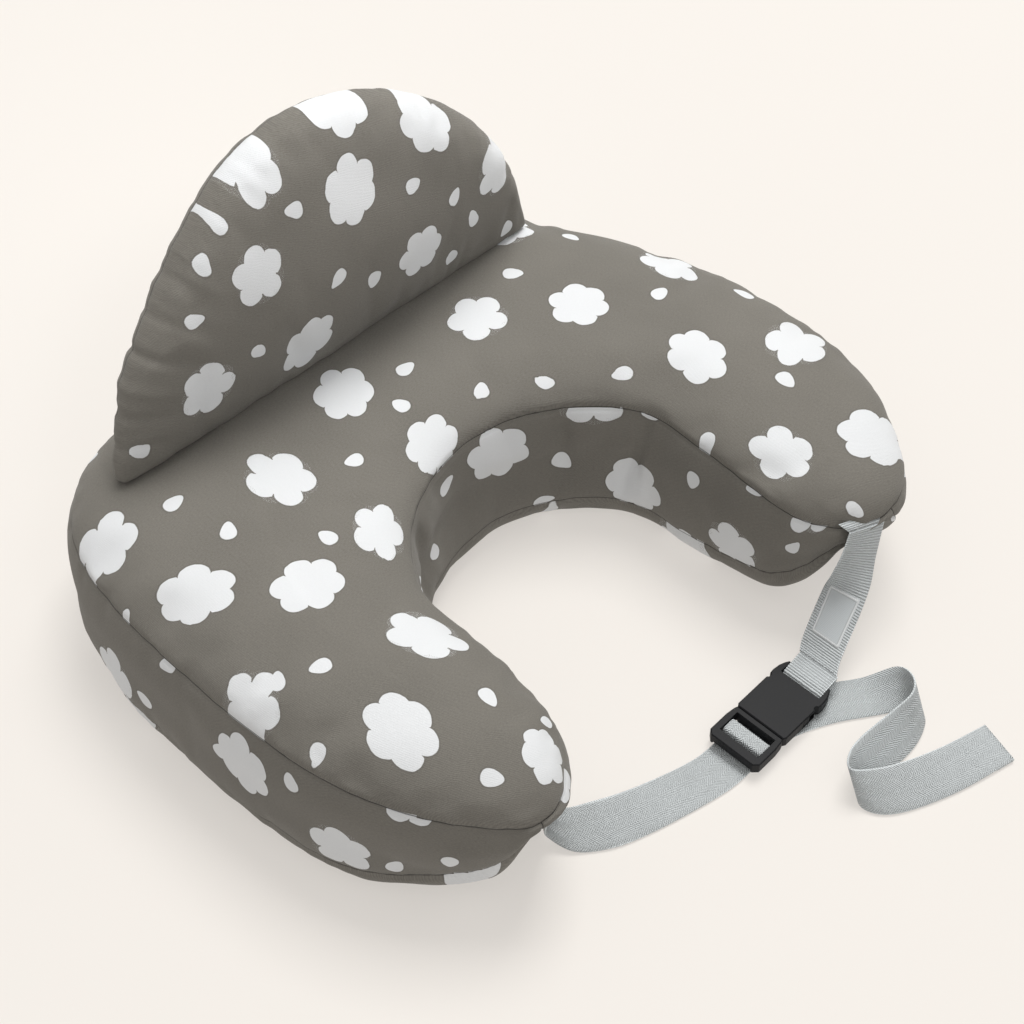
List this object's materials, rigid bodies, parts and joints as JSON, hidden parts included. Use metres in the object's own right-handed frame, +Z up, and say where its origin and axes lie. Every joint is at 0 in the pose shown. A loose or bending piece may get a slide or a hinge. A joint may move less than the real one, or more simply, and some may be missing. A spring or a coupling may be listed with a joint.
{
  "type": "nursing pillow",
  "caption": "U-shaped nursing pillow with a half-moon head guard, printed removable cover and a waist belt with a side-release buckle.",
  "frame": {"origin": "in the waist opening, on the middle line between the arms, in the plane where the cushion rests", "axes": "+Z up; +X across the two arms; -Y the open side that faces the wearer; +Y the back, where the guard stands"},
  "size_m": [0.612, 0.712, 0.3752],
  "materials": {
    "printed_cloth": "matte brushed twill with a pale cloud print",
    "filling": "loose fibre",
    "casing_cloth": "plain woven",
    "webbing": "ribbed weave",
    "label_cloth": "smooth satin weave",
    "zip_tape": "woven tape",
    "zip_coil": "satin",
    "zip_metal": "satin",
    "buckle_plastic": "fine matte"
  },
  "bodies": {
    "cushion": {"pillow_filling": "filling", "inner_casing": "casing_cloth", "cover_top_panel": "printed_cloth", "cover_bottom_panel": "printed_cloth", "cover_outer_band": "printed_cloth", "cover_inner_band": "printed_cloth", "zip_tape_upper": "zip_tape", "zip_tape_lower": "zip_tape", "zip_coil_upper": "zip_coil", "zip_coil_lower": "zip_coil", "zip_end_stops": "zip_coil", "guard_anchor_tape": "webbing", "label_strap_anchor": "webbing", "left_strap_anchor": "webbing", "label_strap": "webbing", "label_strap_loop": "webbing", "label_patch": "label_cloth", "left_strap": "webbing", "buckle_socket": "buckle_plastic"},
    "head_guard": {"guard_filling": "filling", "guard_front_panel": "printed_cloth", "guard_back_panel": "printed_cloth", "guard_base_strip": "printed_cloth"},
    "zip_slider_body": {"zip_slider": "zip_metal"},
    "zip_pull_body": {"zip_pull": "zip_metal"},
    "buckle_plug_body": {"buckle_plug": "buckle_plastic", "adjuster_loop": "webbing", "belt_tail": "webbing", "tail_hem": "webbing"},
    "release_arm_left_body": {"release_arm_left": "buckle_plastic"},
    "release_arm_right_body": {"release_arm_right": "buckle_plastic"}
  },
  "joints": [
    {"name": "guard_tilt", "type": "hinge", "parent": "cushion", "child": "head_guard", "pos_m": [-0.004, 0.188, 0.1892], "axis": [0.9986, -0.0523, 0], "range_deg": [-40, 55]},
    {"name": "zip_slide", "type": "hinge", "parent": "cushion", "child": "zip_slider_body", "pos_m": [0, -0.359, 0.076], "axis": [0, 0, 1], "range_deg": [0, 19.8]},
    {"name": "zip_pull_swing", "type": "hinge", "parent": "zip_slider_body", "child": "zip_pull_body", "pos_m": [0.11265, 0.28644, 0.077], "axis": [0.9851, -0.1719, 0], "range_deg": [0, 150]},
    {"name": "plug_slide", "type": "slide", "parent": "cushion", "child": "buckle_plug_body", "axis": [-1, 0, 0], "range_m": [0, 0.045], "deforming": ["left_strap", "release_arm_left", "release_arm_right"]},
    {"name": "release_left_press", "type": "hinge", "parent": "buckle_plug_body", "child": "release_arm_left_body", "pos_m": [0.02795, -0.27075, 0.01], "axis": [0, 0, 1], "range_deg": [0, 10], "stiffness_Nm_per_rad": 0.3},
    {"name": "release_right_press", "type": "hinge", "parent": "buckle_plug_body", "child": "release_arm_right_body", "pos_m": [0.02795, -0.24425, 0.01], "axis": [0, 0, -1], "range_deg": [0, 10], "stiffness_Nm_per_rad": 0.3}
  ]
}
